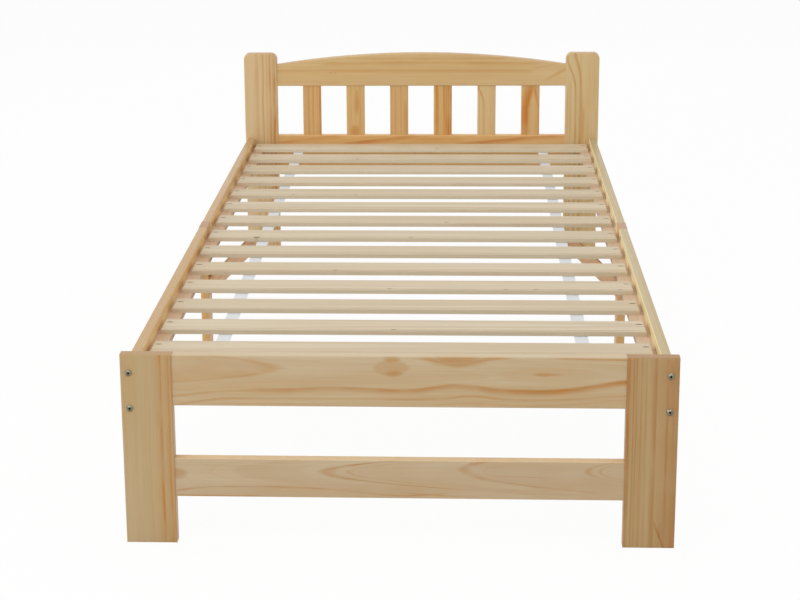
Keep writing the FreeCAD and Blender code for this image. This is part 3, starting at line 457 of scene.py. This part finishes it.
# end frames: the boards that the photo shows face on
topRailSwing = ((96, 48, 10), (242, 60, -2), (400, 75, 17), (-104, 60, 4), (-410, 80, -12))
endFrames = {
    "foot_leg_left": {
        "turn": "upright",
        "figure": {"heart": -0.018, "curve": 0.0006, "run": 2.2, "wander": 0.3, "seed": 1.3},
        "finish": {"pale": (198, 174, 134), "warm": (195, 165, 118), "end": (172, 134, 86)},
        "marks": (line(46, 28, 0.4), line(25, 6, 0.75, wander=2), line(33, -3, 0.45),
                  line(39, 5, 0.7, wander=2), line(23, 12, 0.42, wander=2), line(-20, 8, 0.1, wander=3))},
    "foot_leg_right": {
        "turn": "upright",
        "figure": {"heart": 0.022, "curve": 0.00055, "run": -0.7, "wander": 0.5, "seed": 4.1},
        "finish": {"pale": (194, 164, 117), "warm": (187, 150, 99), "ring": (168, 104, 40),
                   "end": (161, 118, 72)},
        "marks": (line(43, 42, 0.54), line(-41, 7, 0.7, wander=2), line(-33, -2.5, 0.45),
                  line(-27, 2.5, 0.45), line(-20, -2.5, 0.4), line(-11, 2, 0.35, wander=2),
                  line(5, 8, 0.55, wander=2), line(26, 6, 0.65, wander=3), line(38, 8, 0.55, wander=2),
                  line(-38.7, 5, 0.85, end=-118, tilt=-0.38), eye(-140, 24, 32, 12, 0, 0.5))},
    "foot_top_rail": {
        "turn": "across",
        "figure": {"heart": 0.014, "curve": 0.0009, "run": 0.5, "wander": 0.3, "seed": 2.2},
        # its top takes a slightly darker "side" colour: painted shade
        "finish": {"side": (202, 182, 147)},
        "marks": (arrow(-208, 24, 4.2, -1, 50, 0.62, 300, 0.46),
                  line(-13, 9, 0.86, start=125, bends=topRailSwing),
                  line(-15, 8, 0.72, start=-250, end=140, bends=topRailSwing),
                  line(-16, 4, 0.42, end=-230, bends=topRailSwing),
                  line(-30, 3.5, 0.5, bends=((128, 45, 6), (400, 80, 9), (-410, 70, -15))),
                  line(-41, 2.5, 0.32, start=60, bends=((128, 60, 4), (400, 90, 12))),
                  line(-40, 2.5, 0.3, end=-100), eye(-10, 25, 29, 12.5, 0.3, 0.55),
                  eye(-10, 41, 15, 10, 0, 0.55), eye(-10, 16, 21, 6.5, 0, 0.64),
                  line(44, -8, 0.58, start=30, end=190, bends=((100, 42, -13),)),
                  eye(100, 39, 48, 13, 0, 0.62), eye(255, 15, 30, 4, 0, 0.6),
                  eye(262, 13, 85, 13, 0.3, 0.22),
                  line(46.5, -3.5, 0.65, start=270, tilt=-0.013))},
    "foot_lower_rail": {
        "turn": "across",
        "figure": {"heart": 0.014, "curve": 0.00112, "run": -0.219, "wander": 0.25, "seed": 3.7},
        # its top takes a much lighter "side" colour: painted light from above
        "finish": {"pale": (207, 187, 155), "warm": (202, 177, 140), "ring": (180, 120, 52),
                   "side": (240, 209, 164)},
        "marks": (arrow(-130, 13, 3.9, 1, 32, 0.22, 380, 0.62), arrow(-88, 13, 3.2, 1, 18, 0, 230, 0.4),
                  arrow(107, 19, 7, 1, 34, 0.4, 360, 0.55), arrow(146, 16, 5, 1, 15, 0, 240, 0.3),
                  arrow(322, 18, 6, 1, 16, 0.4, 160, 0.45), arrow(345, 18, 6, 1, 9, 0, 110, 0.4),
                  line(14, 2, 0.45, start=160, end=260, tilt=-0.03), line(24, 2, 0.45, start=140, end=200),
                  eye(-384, 8, 19, 10, 0, 0.45), line(-18, 26, 0.2, end=110),
                  line(-15, 3, 0.6, end=80, bends=((-420, 60, -12), (10, 110, -14))),
                  line(-32, 3, 0.6, end=-240), line(-24, 2.5, 0.65, start=0, end=110, tilt=-0.05),
                  line(0, 60, 0.22, start=230), line(-34, 2.5, 0.5, start=120))},
    "head_post_left": {
        "turn": "upright",
        "figure": {"heart": -0.02, "curve": 0.0008, "run": 1.6, "wander": 0.4, "seed": 5.9},
        "finish": {"pale": (221, 198, 157), "warm": (217, 188, 142)},
        "marks": (line(46, 28, 0.32), line(-8, 9, 0.35, wander=2), line(7, 4, 0.5, wander=3),
                  line(17, 2.5, 0.45, wander=2), line(27, 6, 0.7, wander=3), line(37, 8, 0.9, wander=3))},
    "head_post_right": {
        "turn": "upright",
        "figure": {"heart": 0.024, "curve": 0.0009, "run": -1.1, "wander": 0.7, "seed": 6.4},
        "finish": {"pale": (221, 196, 149), "warm": (216, 186, 134)},
        "marks": (line(-2.7, 6, 0.6, bends=((285, 45, -17),)), line(-16, 5, 0.6, bends=((270, 50, -24),)),
                  line(-30, 4, 0.4, end=200), line(-38, 4, 0.35, end=180), eye(90, 0, 70, 8, 0, 0.4),
                  line(19, 5, 0.15))},
    "headboard_top_rail": {
        "turn": "across",
        "figure": {"heart": -0.034, "curve": 0.0013, "run": 2.4, "wander": 0.5, "seed": 7.7},
        # its top takes a much darker "side" colour: painted shade on the top
        "finish": {"pale": (222, 193, 145), "warm": (218, 186, 134), "ring": (196, 138, 62),
                   "side": (190, 156, 110)},
        "marks": (line(17, 9, 0.5, start=-260, end=330, bends=((0, 200, 3),)), line(-2, 9, 0.45, end=300),
                  line(31, 7, 0.38, start=-200, end=230), line(8, 3, 0.25, start=-100),
                  line(-33, 8, 0.28, end=-60), line(-63, 5, 0.4, start=300, tilt=0.22),
                  line(-222, 9, 0.42, start=330, tilt=0.58)),
        "darkMarks": (eye(-243, -9, 5, 2, 0, 0.3), eye(-231, -9, 4, 2, 0, 0.26))},
    "headboard_lower_rail": {
        "turn": "across",
        "figure": {"heart": 0.06, "curve": 0.002, "run": 0.35, "wander": 0.4, "seed": 8.2},
        "finish": {"pale": (230, 192, 137), "warm": (225, 180, 117), "ring": (200, 126, 58)},
        "marks": (line(46, 10, 0.85, start=-210, end=-10, tilt=0.114),
                  line(13.5, 9, 0.85, start=100, tilt=0.088), line(72, 12, 0.6, end=-220, tilt=0.12),
                  line(36, 10, 0.35, start=-40, end=110))},
}
for node, board in endFrames.items():
    boardMaterial(node, board["turn"], {**lacquer, **board["finish"]}, board["figure"], board["marks"],
                  board.get("darkMarks", ()))

spindles = {
    "figure": {"curve": 0.0005, "heart": 0.02, "run": 1.1},
    "pale": ((220, 180, 124), (221, 184, 126), (220, 182, 126), (222, 182, 120), (224, 195, 144),
             (222, 184, 128)),
    "ring": (202, 128, 54),
    "marks": (
        (line(-8, 5, 0.65), line(4, 4, 0.6), line(-17, 4, 0.4), line(13, -4, 0.45), line(22, 4, 0.8)),
        (eye(21, 4, 34, 8, 0.2, 0.6), eye(-58, -2, 18, 14, 0.2, 0.7), line(-12, 4, 0.3), line(14, 6, 0.4)),
        (line(-9, 4, 0.5), line(6, 4, 0.5), line(19, 8, 0.65, end=30), line(-19, 4, 0.4)),
        (line(-17, -7, 0.9), line(4, 4, 0.9), line(10, 6, 0.7), line(16, 5, 1.0), line(22, 5, 0.85)),
        (line(-6, 5, 0.6, bends=((67, 26, -15),)), line(10, 6, 0.2)),
        (line(-11, 20, 0.9, bends=((72, 45, 13),)), line(25.6, 7, 0.8, start=-25, tilt=-0.22),
         line(23, 5, 0.6, end=10)))}
for k, (pale, marks) in enumerate(zip(spindles["pale"], spindles["marks"])):
    boardMaterial("headboard_spindle_%d" % (k + 1), "upright",
                  {**lacquer, "pale": pale, "warm": pale, "ring": spindles["ring"]},
                  {**spindles["figure"], "seed": 11.3 + 2.7 * k}, marks)

# side rails and the ledges under the slats; the narrow side of a rail is its top. The rails' faces are
# painted paler than the wood as painted light, and their tops darker as painted shade
sideRails = {"figure": {"curve": 0.0011, "run": 0.9, "ring": 0.0055}, "contrast": 0.55,
             "left": {"pale": (248, 217, 160), "warm": (243, 204, 142), "side": (170, 134, 94)},
             "right": {"pale": (246, 235, 190), "warm": (242, 225, 170), "side": (165, 142, 98)},
             "heart": {"left": 0.012, "right": -0.012}}
ledges = {"heart": 0.03, "left": {"pale": (211, 182, 152), "warm": (204, 172, 140)},
          "right": {"pale": (211, 185, 158), "warm": (205, 176, 147)}}
for k, half in enumerate(("foot", "head")):
    for j, side in enumerate(("left", "right")):
        boardMaterial("side_rail_%s_%s" % (half, side), "lengthways",
                      {**lacquer, **sideRails[side], "contrast": sideRails["contrast"]},
                      {**sideRails["figure"], "heart": sideRails["heart"][side],
                       "seed": 31.7 + 3.1 * k + 1.7 * j})
        boardMaterial("slat_ledge_%s_%s" % (half, side), "lengthways", {**bare, **ledges[side]},
                      {"heart": ledges["heart"], "seed": 41.1 + 2.3 * k + 1.9 * j})

middlePosts = {"post": {"pale": (226, 184, 126), "warm": (219, 172, 110), "ring": (192, 134, 72),
                        "end": (164, 122, 92), "contrast": 0.5},
               "brace": {"pale": (240, 206, 172), "warm": (235, 195, 157), "ring": (206, 152, 112),
                         "contrast": 0.3},
               "curve": 0.0009, "heart": {"post": -0.03, "brace": 0.03},
               "seed": {"post": 51.9, "brace": 57.3}}
for j, side in enumerate(("left", "right")):
    for kind, turn in (("post", "upright"), ("brace", side + "Brace")):
        boardMaterial("mid_%s_%s" % (kind, side), turn, {**lacquer, **middlePosts[kind]},
                      {"heart": middlePosts["heart"][kind], "curve": middlePosts["curve"],
                       "seed": middlePosts["seed"][kind] + 3.3 * j})

# slats: two faint lines each and a darker line along part of the foot side edge, a painted shade round each
# staple standing in for the shadow of its groove, and small knots by the foot side edge; on the eighth, a
# bark streak there.
# Places are millimetres from the middle, slats count from the head.
slats = {"count": 14, "heart": 0.05, "curve": 0.0011, "run": 1.5, "shade": 3, "headPaintedLight": 10, "sideShadeLift": -2,
         "lineReach": 30, "edgeStray": 4, "edgeStart": (600, -500),
         "stapleInset": 10.5, "stapleSetback": 23, "stapleShade": (7, 2.6),
         "streaked": 8, "streak": eye(-340, -32, 9, 2, 0, 0.85), "knotLevel": -30.5, "knot": (6, 1.9),
         "darkMarks": {1: (44,), 2: (-161,), 5: (-295, -144), 7: (75,), 8: (-2,), 10: (-150,),
                   11: (-34, 196, 255, 421), 13: (-16,)}}
dice = np.random.default_rng(27)
for k in range(slats["count"]):
    node = "slat_%02d" % (k + 1)
    heart, way, shade, first, second, spot = dice.uniform(-1, 1, 6)
    # slats are painted lighter towards the head: painted light standing in for the light the headboard keeps
    # off them; shade adds a random tone per slat
    lift = slats["shade"] * shade + slats["headPaintedLight"] * (1 - k / (slats["count"] - 1))
    tones = {name: tuple(int(c + lift) for c in bare[name]) for name in ("pale", "warm")}
    # the narrow sides of each slat are painted a little darker than its top: painted shade
    tones["side"] = tuple(c + slats["sideShadeLift"] for c in tones["pale"])
    reach, (spread, middle) = slats["lineReach"], slats["edgeStart"]
    marks = (line(reach * first, 5, 0.14, wander=3),
             line(-reach + slats["edgeStray"] * second, 3, 0.6, start=spread * spot + middle, wander=2),
             line(reach * second, 7, 0.1, wander=4))
    low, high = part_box(node)
    end = (high[0] - low[0]) * 1000 / 2 - slats["stapleInset"]
    level = (high[1] - low[1]) * 1000 / 2 - slats["stapleSetback"]
    # a dark spot round each staple: painted shade standing in for the shadow of its groove
    spots = [eye(at, level, *slats["stapleShade"], 0, 1.0) for at in (-end, end)]
    spots += [eye(at, slats["knotLevel"], *slats["knot"], 0, 0.75) for at in slats["darkMarks"].get(k + 1, ())]
    if k + 1 == slats["streaked"]:
        spots.append(slats["streak"])
    figure = {"heart": slats["heart"] * heart, "curve": slats["curve"],
              "run": slats["run"] * (1 if way > 0 else -1), "seed": 71.3 + 3.9 * k}
    boardMaterial(node, "flat", {**bare, **tones}, figure, marks, spots)
print("boards finished")

# hidden beech dowels keep a plain fine grain
dowels = {"finish": {"pale": (206, 172, 132), "ring": (186, 146, 104)},
          "figure": {"ring": 0.002, "seed": 91.0}}
for node, turn in (("frame_dowels", "across"), ("spindle_dowels", "upright")):
    boardMaterial(node, turn, {**bare, **dowels["finish"]}, dowels["figure"])

# the last two set the edge and the extra roughness of the painted shade in the bolt sockets
plating = {"patches": 420.0, "dulled": 0.18, "grimeEdge": (0.45, 0.56), "grimeRough": 0.4}


def metalMaterial(name, metal):  # plated steel: colour and roughness drift from spot to spot
    material = bpy.data.materials.new(name)
    material.use_nodes = True
    tree = material.node_tree
    shader = tree.nodes["Principled BSDF"]
    where = tree.nodes.new("ShaderNodeTexCoord").outputs["Object"]
    patches = ramp(tree, cloud(tree, where, 3.0, plating["patches"]), *cloudSpans["plating"])
    color = blendColors(tree, patches, paint(*metal["color"]), paint(*metal["dull"]))
    rough = calc(tree, "MULTIPLY_ADD", patches, plating["dulled"], metal["roughness"])
    if "socket" in metal:  # painted shade in the sockets of the bolts, by the distance from the nearest bolt's axis
        low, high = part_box("foot_bolts")
        axes = split(tree, where)
        far = calc(tree, "SUBTRACT", calc(tree, "ABSOLUTE", axes["X"]), high[0] - metal["head"] / 2)
        rise = calc(tree, "ABSOLUTE", calc(tree, "SUBTRACT", axes["Z"], (low[2] + high[2]) / 2))
        rise = calc(tree, "SUBTRACT", rise, (high[2] - low[2] - metal["head"]) / 2)
        far = calc(tree, "MULTIPLY_ADD", far, far, calc(tree, "MULTIPLY", rise, rise))
        edge = (metal["socket"] * share for share in plating["grimeEdge"])
        grime = ramp(tree, calc(tree, "SQRT", far), *edge, 1.0, 0.0)
        color = blendColors(tree, grime, color, paint(*metal["grime"]))
        rough = calc(tree, "MULTIPLY_ADD", grime, plating["grimeRough"], rough)
    feed(tree, shader.inputs["Base Color"], color)
    feed(tree, shader.inputs["Roughness"], rough)
    shader.inputs["Metallic"].default_value = 1.0
    return material


zinc = {"color": (196, 194, 184), "dull": (160, 156, 144), "roughness": 0.28}
# the bolts' sockets take a near-black painted shade
boltZinc = {"color": (152, 149, 130), "dull": (114, 108, 90), "roughness": 0.3, "head": 0.012,
            "socket": 0.004, "grime": (24, 22, 18)}
staple = {"color": (74, 64, 54), "dull": (48, 40, 34), "roughness": 0.55}
metals = {"foot_bolts": metalMaterial("boltZinc", boltZinc),
          "slat_staples": metalMaterial("stapleWire", staple)}
metals["head_bolts"] = metals["foot_bolts"]
zincPlate = metalMaterial("zincPlate", zinc)
for node in ("foot_bolts", "head_bolts", "mid_joint_rods", "barrel_nuts", "ledge_screws",
             "brace_post_screws", "brace_slat_screws", "slat_staples"):
    mesh = nodes[node].data
    mesh.materials.clear()
    mesh.materials.append(metals.get(node, zincPlate))
print("fasteners finished")

# webbing straps: a flat band with round edges carried along the bed, held up at each slat and sagging a
# little between: z = top - sag * (1 - cos(2 pi * (y - y of a slat) / pitch)) / 2
webbing = {"rows": 420, "round": 16, "corner": 2 / 9, "sag": 0.0011, "rib": 0.0014, "weft": 0.0023,
           "zigzag": 0.007, "roughness": (-0.1, 0.9), "bump": 0.5, "relief": 0.0003,
           "white": (236, 238, 240), "shade": (212, 216, 220)}


def webbingMaterial():
    material = bpy.data.materials.new("strapWebbing")
    material.use_nodes = True
    tree = material.node_tree
    shader = tree.nodes["Principled BSDF"]
    where = tree.nodes.new("ShaderNodeTexCoord").outputs["Object"]
    side, length = split(tree, where)[:2]
    turns = 2 * math.pi
    across = calc(tree, "MULTIPLY", side, turns / webbing["rib"])
    along = calc(tree, "MULTIPLY", length, turns / webbing["weft"])
    zigzag = calc(tree, "PINGPONG", side, webbing["zigzag"])
    twill = calc(tree, "MULTIPLY_ADD", zigzag, turns / webbing["weft"], along)
    weave = calc(tree, "MULTIPLY", calc(tree, "SINE", across), calc(tree, "SINE", twill))
    weave = calc(tree, "MULTIPLY_ADD", weave, 0.5, 0.5)
    color = blendColors(tree, weave, paint(*webbing["shade"]), paint(*webbing["white"]))
    feed(tree, shader.inputs["Base Color"], color)
    feed(tree, shader.inputs["Roughness"], calc(tree, "MULTIPLY_ADD", weave, *webbing["roughness"]))
    bump = tree.nodes.new("ShaderNodeBump")
    bump.inputs["Strength"].default_value = webbing["bump"]
    bump.inputs["Distance"].default_value = webbing["relief"]
    feed(tree, bump.inputs["Height"], weave)
    feed(tree, shader.inputs["Normal"], bump.outputs[0])
    return material


strapWebbing = webbingMaterial()


def makeStrap(node):
    low, high = (np.array(corner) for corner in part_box(node))
    firstSlat, secondSlat = (np.array(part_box("slat_%02d" % k)).mean(0)[1] for k in (1, 2))
    pitch = firstSlat - secondSlat
    y = np.linspace(low[1], high[1], webbing["rows"])
    angle = np.linspace(0, 2 * math.pi, webbing["round"], endpoint=False) + math.pi / webbing["round"]
    halfWidth, halfThick = (high[0] - low[0]) / 2, (high[2] - low[2]) / 2
    # section: half size * the cosine or sine of the angle, to a low power that squares the circle
    x = halfWidth * np.sign(np.cos(angle)) * np.abs(np.cos(angle)) ** webbing["corner"]
    z = halfThick * np.sign(np.sin(angle)) * np.abs(np.sin(angle)) ** webbing["corner"]
    sag = webbing["sag"] * (1 - np.cos(2 * math.pi * (y - firstSlat) / pitch)) / 2
    grid = np.empty((len(y), len(x), 3))
    grid[..., 0] = (low[0] + high[0]) / 2 + x[None, :]
    grid[..., 1] = y[:, None]
    grid[..., 2] = (low[2] + high[2]) / 2 + z[None, :] - sag[:, None]
    row, col = np.meshgrid(np.arange(len(y) - 1), np.arange(len(x)), indexing="ij")
    after = (col + 1) % len(x)
    start, above = row * len(x), (row + 1) * len(x)
    quads = np.stack((start + col, start + after, above + after, above + col), -1)
    faces = quads.reshape(-1, 4)[:, ::-1].tolist()
    faces.append(list(range(len(x))))
    faces.append(list(range((len(y) - 1) * len(x), len(y) * len(x)))[::-1])
    mesh = bpy.data.meshes.new(node + "_webbing")
    mesh.from_pydata(grid.reshape(-1, 3), [], faces)
    mesh.materials.append(strapWebbing)
    piece = bpy.data.objects.new(node + "_webbing", mesh)
    scene.collection.objects.link(piece)
    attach(piece, "root")
    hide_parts(node)


for node in ("slat_strap_left", "slat_strap_right"):
    makeStrap(node)
print("straps woven")

# stage: a white floor that keeps a soft shadow, a white world, soft lamps
stage = {"size": 16.0, "floor": (246, 246, 245), "glow": 0.95, "ambient": 0.565, "air": (253, 253, 253),
         "aim": (0, 0, 0.3)}
# lamps: place, width, power
lamps = {"over": ((0.0, -1.2, 3.6), 4.4, 55.0), "side": ((-2.8, -3.4, 2.8), 2.2, 26.5),
         "back": ((0.0, 4.6, 1.5), 2.2, 8.0), "left": ((-4.5, 0.4, 1.2), 2.0, 58.0)}


def rayShare(tree):  # 1 for rays that a viewer sees directly, in a mirror or through glass
    path = tree.nodes.new("ShaderNodeLightPath")
    seen = calc(tree, "MAXIMUM", path.outputs["Is Camera Ray"], path.outputs["Is Glossy Ray"])
    return calc(tree, "MAXIMUM", seen, path.outputs["Is Transmission Ray"])


def makeFloor():
    half = stage["size"] / 2
    mesh = bpy.data.meshes.new("floor")
    corners = [(-half, -half, 0), (half, -half, 0), (half, half, 0), (-half, half, 0)]
    mesh.from_pydata(corners, [], [(0, 1, 2, 3)])
    floor = bpy.data.objects.new("floor", mesh)
    scene.collection.objects.link(floor)
    material = bpy.data.materials.new("paleFloor")
    material.use_nodes = True
    tree = material.node_tree
    tree.nodes.clear()
    matte = tree.nodes.new("ShaderNodeBsdfDiffuse")
    matte.inputs["Color"].default_value = paint(*stage["floor"])
    glow = tree.nodes.new("ShaderNodeEmission")
    lit = tree.nodes.new("ShaderNodeMixShader")
    feed(tree, lit.inputs[0], calc(tree, "MULTIPLY", rayShare(tree), stage["glow"]))
    feed(tree, lit.inputs[1], matte.outputs[0])
    feed(tree, lit.inputs[2], glow.outputs[0])
    clear = tree.nodes.new("ShaderNodeBsdfTransparent")
    oneSided = tree.nodes.new("ShaderNodeMixShader")
    feed(tree, oneSided.inputs[0], tree.nodes.new("ShaderNodeNewGeometry").outputs["Backfacing"])
    feed(tree, oneSided.inputs[1], lit.outputs[0])
    feed(tree, oneSided.inputs[2], clear.outputs[0])
    feed(tree, tree.nodes.new("ShaderNodeOutputMaterial").inputs[0], oneSided.outputs[0])
    mesh.materials.append(material)


def lightRoom():
    world = scene.world or bpy.data.worlds.new("room")
    scene.world = world
    world.use_nodes = True
    tree = world.node_tree
    background = tree.nodes["Background"]
    background.inputs["Color"].default_value = paint(*stage["air"])
    strength = calc(tree, "MULTIPLY_ADD", rayShare(tree), 1 - stage["ambient"], stage["ambient"])
    feed(tree, background.inputs["Strength"], strength)
    for name, (spot, size, power) in lamps.items():
        light = bpy.data.lights.new(name + "Lamp", "AREA")
        light.size = size
        light.energy = power
        lamp = bpy.data.objects.new(name + "Lamp", light)
        lamp.location = spot
        lamp.rotation_euler = (Vector(stage["aim"]) - Vector(spot)).to_track_quat("-Z", "Y").to_euler()
        scene.collection.objects.link(lamp)


makeFloor()
lightRoom()
print("room lit")

# camera where the photo was taken from; focal length and centre are in pixels of the 800 x 600 frame
view = {"spot": (0.101611, -4.171410, 1.337395), "yaw": -3.170, "pitch": 14.917, "roll": -0.594,
        "focal": 1938.0, "centre": (354.177, 269.162), "frame": (800, 600), "sensor": 36}


def makeCamera():
    yaw, pitch, roll = (math.radians(view[name]) for name in ("yaw", "pitch", "roll"))
    ahead = Vector((math.sin(yaw) * math.cos(pitch), math.cos(yaw) * math.cos(pitch), -math.sin(pitch)))
    level = Vector((math.cos(yaw), -math.sin(yaw), 0))
    upright = level.cross(ahead)
    right = level * math.cos(roll) + upright * math.sin(roll)
    up = upright * math.cos(roll) - level * math.sin(roll)
    data = bpy.data.cameras.new("camera")
    data.sensor_width = view["sensor"]
    data.lens = view["focal"] / view["frame"][0] * data.sensor_width
    data.shift_x = (view["frame"][0] / 2 - view["centre"][0]) / view["frame"][0]
    data.shift_y = (view["centre"][1] - view["frame"][1] / 2) / view["frame"][0]
    camera = bpy.data.objects.new("camera", data)
    camera.matrix_world = Matrix.Translation(view["spot"]) @ Matrix((right, up, -ahead)).transposed().to_4x4()
    scene.collection.objects.link(camera)
    scene.camera = camera


makeCamera()
scene.view_settings.view_transform = "Standard"
